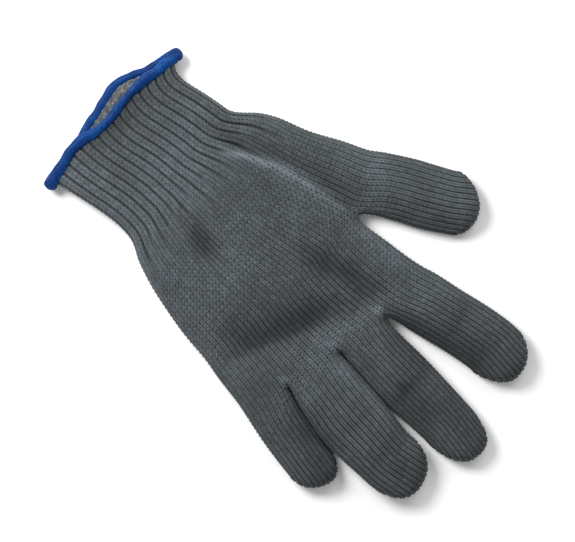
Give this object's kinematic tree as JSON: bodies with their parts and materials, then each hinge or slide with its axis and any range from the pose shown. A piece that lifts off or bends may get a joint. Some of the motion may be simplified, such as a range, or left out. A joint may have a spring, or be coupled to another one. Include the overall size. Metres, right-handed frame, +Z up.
{
  "type": "knitted work glove",
  "caption": "Seamless machine-knitted protective work glove in dark grey yarn, with a ribbed elastic cuff and a blue overlocked edge, lying flat with the palm face up.",
  "frame": {"origin": "centre of the glove's plan outline, on the surface it lies on", "axes": "+Y from the cuff to the fingertips, +X toward the little finger, +Z up out of the palm face"},
  "size_m": [0.1698, 0.2596, 0.0122],
  "materials": {
    "grey_knit": "matte",
    "blue_edge": "satin",
    "elastic_yarn": "matte"
  },
  "bodies": {
    "palm": {"palm_knit": "grey_knit", "wrist_fold": "grey_knit", "index_root_fold": "grey_knit", "middle_root_fold": "grey_knit", "ring_root_fold": "grey_knit", "pinky_root_fold": "grey_knit", "thumb_root_fold": "grey_knit"},
    "cuff": {"cuff_rib": "grey_knit", "cuff_binding": "blue_edge", "cuff_elastic_yarns": "elastic_yarn"},
    "index_proximal": {"index_proximal_tube": "grey_knit", "index_knuckle_fold": "grey_knit"},
    "index_middle": {"index_middle_tube": "grey_knit", "index_tip_fold": "grey_knit"},
    "index_tip": {"index_fingertip": "grey_knit"},
    "middle_proximal": {"middle_proximal_tube": "grey_knit", "middle_knuckle_fold": "grey_knit"},
    "middle_middle": {"middle_middle_tube": "grey_knit", "middle_tip_fold": "grey_knit"},
    "middle_tip": {"middle_fingertip": "grey_knit"},
    "ring_proximal": {"ring_proximal_tube": "grey_knit", "ring_knuckle_fold": "grey_knit"},
    "ring_middle": {"ring_middle_tube": "grey_knit", "ring_tip_fold": "grey_knit"},
    "ring_tip": {"ring_fingertip": "grey_knit"},
    "pinky_proximal": {"pinky_proximal_tube": "grey_knit", "pinky_knuckle_fold": "grey_knit"},
    "pinky_middle": {"pinky_middle_tube": "grey_knit", "pinky_tip_fold": "grey_knit"},
    "pinky_tip": {"pinky_fingertip": "grey_knit"},
    "thumb": {"thumb_tube": "grey_knit", "thumb_tip_fold": "grey_knit"},
    "thumb_end": {"thumb_tip": "grey_knit"}
  },
  "joints": [
    {"name": "wrist_bend", "type": "hinge", "parent": "palm", "child": "cuff", "pos_m": [0.01, -0.067, 0.0058], "axis": [-1, 0, 0], "range_deg": [0, 60], "deforming": ["wrist_fold"]},
    {"name": "index_root_bend", "type": "hinge", "parent": "palm", "child": "index_proximal", "pos_m": [-0.02361, 0.057, 0.0058], "axis": [1, 0, 0], "range_deg": [0, 75], "deforming": ["index_root_fold"]},
    {"name": "index_knuckle_bend", "type": "hinge", "parent": "index_proximal", "child": "index_middle", "pos_m": [-0.02741, 0.079, 0.0058], "axis": [1, 0, 0], "range_deg": [0, 85], "deforming": ["index_knuckle_fold"]},
    {"name": "index_tip_bend", "type": "hinge", "parent": "index_middle", "child": "index_tip", "pos_m": [-0.0307, 0.098, 0.0058], "axis": [1, 0, 0], "range_deg": [0, 55], "deforming": ["index_tip_fold"]},
    {"name": "middle_root_bend", "type": "hinge", "parent": "palm", "child": "middle_proximal", "pos_m": [0.00907, 0.057, 0.0058], "axis": [1, 0, 0], "range_deg": [0, 75], "deforming": ["middle_root_fold"]},
    {"name": "middle_knuckle_bend", "type": "hinge", "parent": "middle_proximal", "child": "middle_middle", "pos_m": [0.01101, 0.083, 0.0058], "axis": [1, 0, 0], "range_deg": [0, 85], "deforming": ["middle_knuckle_fold"]},
    {"name": "middle_tip_bend", "type": "hinge", "parent": "middle_middle", "child": "middle_tip", "pos_m": [0.01273, 0.106, 0.0058], "axis": [1, 0, 0], "range_deg": [0, 55], "deforming": ["middle_tip_fold"]},
    {"name": "ring_root_bend", "type": "hinge", "parent": "palm", "child": "ring_proximal", "pos_m": [0.03916, 0.052, 0.0058], "axis": [1, 0, 0], "range_deg": [0, 75], "deforming": ["ring_root_fold"]},
    {"name": "ring_knuckle_bend", "type": "hinge", "parent": "ring_proximal", "child": "ring_middle", "pos_m": [0.0419, 0.077, 0.0058], "axis": [1, 0, 0], "range_deg": [0, 85], "deforming": ["ring_knuckle_fold"]},
    {"name": "ring_tip_bend", "type": "hinge", "parent": "ring_middle", "child": "ring_tip", "pos_m": [0.0441, 0.097, 0.0058], "axis": [1, 0, 0], "range_deg": [0, 55], "deforming": ["ring_tip_fold"]},
    {"name": "pinky_root_bend", "type": "hinge", "parent": "palm", "child": "pinky_proximal", "pos_m": [0.06742, 0.043, 0.0058], "axis": [1, 0, 0], "range_deg": [0, 75], "deforming": ["pinky_root_fold"]},
    {"name": "pinky_knuckle_bend", "type": "hinge", "parent": "pinky_proximal", "child": "pinky_middle", "pos_m": [0.07, 0.0575, 0.0058], "axis": [1, 0, 0], "range_deg": [0, 85], "deforming": ["pinky_knuckle_fold"]},
    {"name": "pinky_tip_bend", "type": "hinge", "parent": "pinky_middle", "child": "pinky_tip", "pos_m": [0.0724, 0.071, 0.0058], "axis": [1, 0, 0], "range_deg": [0, 55], "deforming": ["pinky_tip_fold"]},
    {"name": "thumb_root_bend", "type": "hinge", "parent": "palm", "child": "thumb", "pos_m": [-0.05247, 0.00337, 0.0058], "axis": [0.8788, 0.4772, 0], "range_deg": [0, 50], "deforming": ["thumb_root_fold"]},
    {"name": "thumb_tip_bend", "type": "hinge", "parent": "thumb", "child": "thumb_end", "pos_m": [-0.06297, 0.02271, 0.0058], "axis": [0.8788, 0.4772, 0], "range_deg": [0, 75], "deforming": ["thumb_tip_fold"]}
  ]
}
